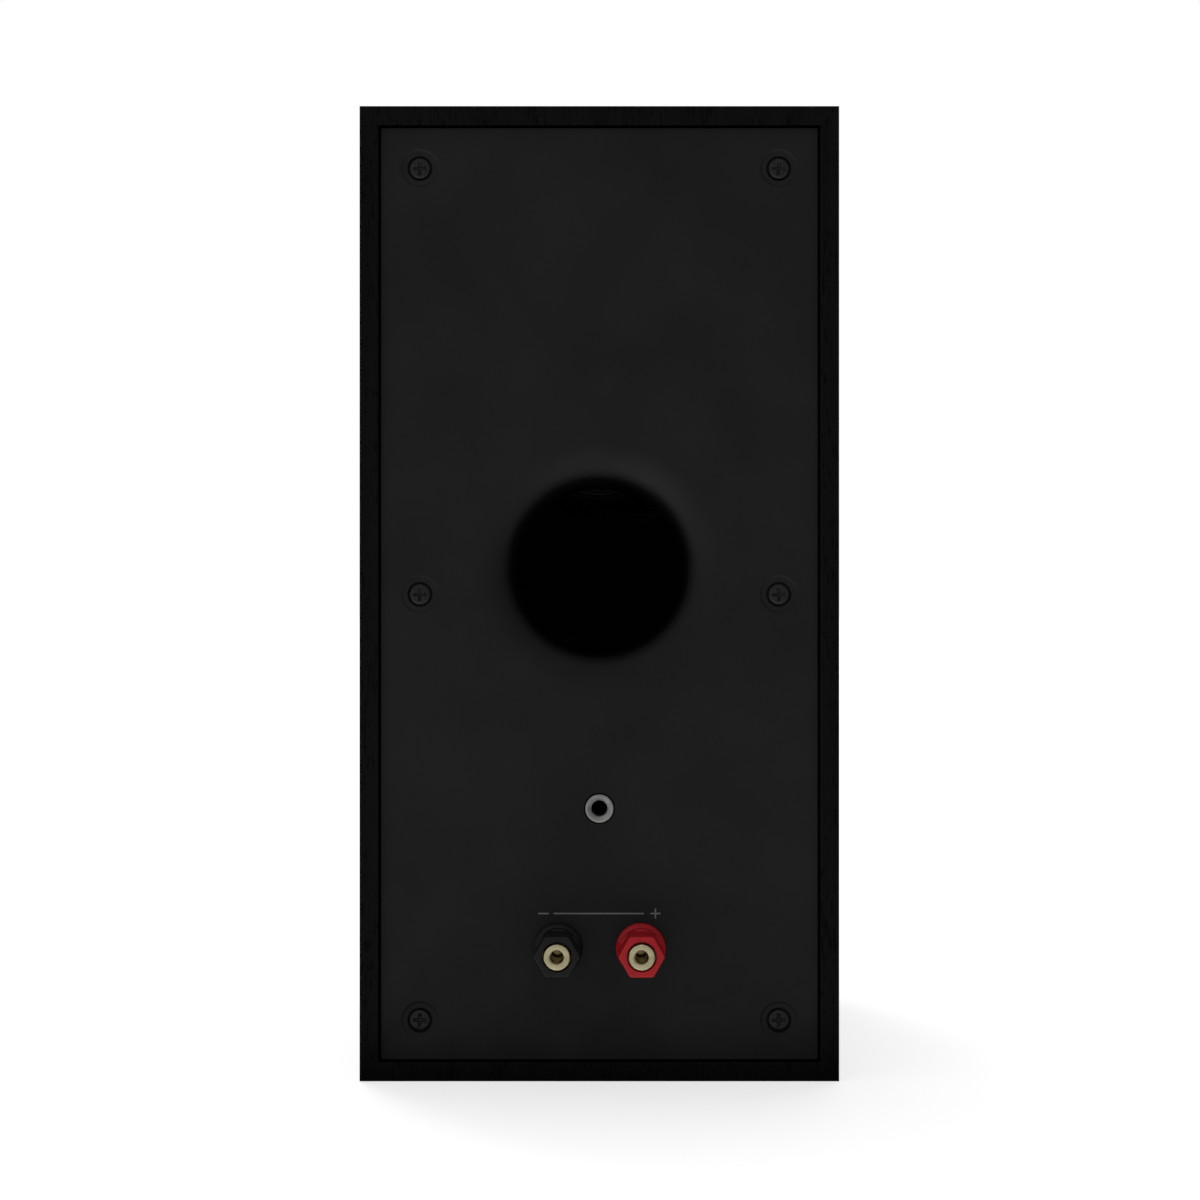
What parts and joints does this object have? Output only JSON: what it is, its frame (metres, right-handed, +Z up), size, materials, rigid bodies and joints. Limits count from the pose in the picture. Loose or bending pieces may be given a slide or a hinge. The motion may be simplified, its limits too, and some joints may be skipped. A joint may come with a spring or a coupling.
{
  "type": "bookshelf speaker",
  "caption": "Compact two-way bookshelf speaker in black: rear port, unscrewing binding posts, removable cloth grille and moving drivers inside a wrapped cabinet.",
  "frame": {"origin": "middle of the width and of the whole depth, on the surface the speaker stands on", "axes": "+Z up, grille and drivers face -Y, rear panel and binding posts face +Y, negative post on the +X side"},
  "size_m": [0.152, 0.206, 0.309],
  "materials": {
    "black_woodgrain_vinyl": "satin black vinyl with an embossed wood grain, wrapped over MDF",
    "black_baffle_paint": "smooth satin black",
    "raw_mdf": "bare MDF",
    "black_moulding": "fine matt moulded black",
    "gasket_rubber": "soft solid rubber strip",
    "zinc_plated_steel": "satin zinc plate",
    "black_screw": "black oxide",
    "champagne_gold_plating": "pale gold plate, machined",
    "plain_brass": "machined",
    "red_cap_plastic": "semi-gloss moulded red",
    "black_cap_plastic": "semi-gloss moulded black",
    "circuit_board": "green solder mask",
    "copper_winding": "enamelled copper wire",
    "capacitor_film": "wrapped polyester film",
    "cement": "rough ceramic",
    "black_painted_steel": "satin powder coat on stamped steel",
    "black_rubber": "matt rubber",
    "black_cone": "coated paper pulp",
    "spider_cloth": "resin-treated cloth",
    "ferrite": "sintered ferrite",
    "dome_fabric": "coated silk",
    "grille_plastic": "matt black",
    "grille_cloth": "black knitted grille cloth",
    "wire_insulation": "soft PVC twin lead, red and black",
    "wadding_fleece": "white polyester fleece"
  },
  "bodies": {
    "cabinet": {"left_side_panel": "black_woodgrain_vinyl", "right_side_panel": "black_woodgrain_vinyl", "top_panel": "black_woodgrain_vinyl", "bottom_panel": "black_woodgrain_vinyl", "front_baffle": "black_baffle_paint", "rear_frame": "raw_mdf", "rear_panel": "black_moulding", "rear_gasket": "gasket_rubber", "port_tube": "black_moulding", "threaded_insert": "zinc_plated_steel", "rear_screw_1": "black_screw", "rear_screw_2": "black_screw", "rear_screw_3": "black_screw", "rear_screw_4": "black_screw", "rear_screw_5": "black_screw", "rear_screw_6": "black_screw", "negative_post_stud": "champagne_gold_plating", "negative_post_collar": "black_cap_plastic", "negative_post_washer": "black_cap_plastic", "negative_post_nut": "zinc_plated_steel", "positive_post_stud": "champagne_gold_plating", "positive_post_collar": "red_cap_plastic", "positive_post_washer": "black_cap_plastic", "positive_post_nut": "zinc_plated_steel", "crossover_board": "circuit_board", "woofer_inductor": "copper_winding", "tweeter_inductor": "copper_winding", "woofer_capacitor": "capacitor_film", "tweeter_capacitor": "capacitor_film", "padding_resistor": "cement", "woofer_basket": "black_painted_steel", "woofer_gasket": "gasket_rubber", "woofer_surround": "black_rubber", "woofer_spider": "spider_cloth", "woofer_top_plate": "zinc_plated_steel", "woofer_magnet": "ferrite", "woofer_yoke": "zinc_plated_steel", "woofer_screw_1": "black_screw", "woofer_screw_2": "black_screw", "woofer_screw_3": "black_screw", "woofer_screw_4": "black_screw", "tweeter_faceplate": "black_moulding", "tweeter_surround": "black_rubber", "tweeter_top_plate": "zinc_plated_steel", "tweeter_magnet": "ferrite", "tweeter_yoke": "zinc_plated_steel", "woofer_lead": "wire_insulation", "tweeter_lead": "wire_insulation", "acoustic_wadding": "wadding_fleece"},
    "grille": {"grille_frame": "grille_plastic", "grille_cloth": "grille_cloth"},
    "woofer_diaphragm": {"woofer_cone": "black_cone", "woofer_dust_cap": "black_cone", "woofer_voice_coil": "copper_winding"},
    "tweeter_diaphragm": {"tweeter_dome": "dome_fabric", "tweeter_voice_coil": "copper_winding"},
    "negative_sleeve_body": {"negative_cap_sleeve": "plain_brass"},
    "negative_cap_body": {"negative_cap": "black_cap_plastic"},
    "positive_sleeve_body": {"positive_cap_sleeve": "plain_brass"},
    "positive_cap_body": {"positive_cap": "red_cap_plastic"}
  },
  "joints": [
    {"name": "grille_pull", "type": "slide", "parent": "cabinet", "child": "grille", "axis": [0, -1, 0], "range_m": [0, 0.1]},
    {"name": "woofer_travel", "type": "slide", "parent": "cabinet", "child": "woofer_diaphragm", "axis": [0, -1, 0], "range_m": [-0.003, 0.003], "stiffness_N_per_m": 1000, "deforming": ["woofer_surround", "woofer_spider"]},
    {"name": "tweeter_travel", "type": "slide", "parent": "cabinet", "child": "tweeter_diaphragm", "axis": [0, -1, 0], "range_m": [-0.0003, 0.0003], "stiffness_N_per_m": 1000, "deforming": ["tweeter_surround"]},
    {"name": "negative_cap_lift", "type": "slide", "parent": "cabinet", "child": "negative_sleeve_body", "axis": [0, 1, 0], "range_m": [0, 0.0038]},
    {"name": "negative_cap_turn", "type": "hinge", "parent": "negative_sleeve_body", "child": "negative_cap_body", "pos_m": [0.0131, 0.081, 0.0422], "axis": [0, 1, 0], "range_deg": [0, 1711]},
    {"name": "positive_cap_lift", "type": "slide", "parent": "cabinet", "child": "positive_sleeve_body", "axis": [0, 1, 0], "range_m": [0, 0.0038]},
    {"name": "positive_cap_turn", "type": "hinge", "parent": "positive_sleeve_body", "child": "positive_cap_body", "pos_m": [-0.0131, 0.081, 0.0422], "axis": [0, 1, 0], "range_deg": [0, 1711]}
  ],
  "couplings": [
    {"joint": "negative_cap_turn", "follows": "negative_cap_lift", "rad_per_m": 7854},
    {"joint": "positive_cap_turn", "follows": "positive_cap_lift", "rad_per_m": 7854}
  ]
}
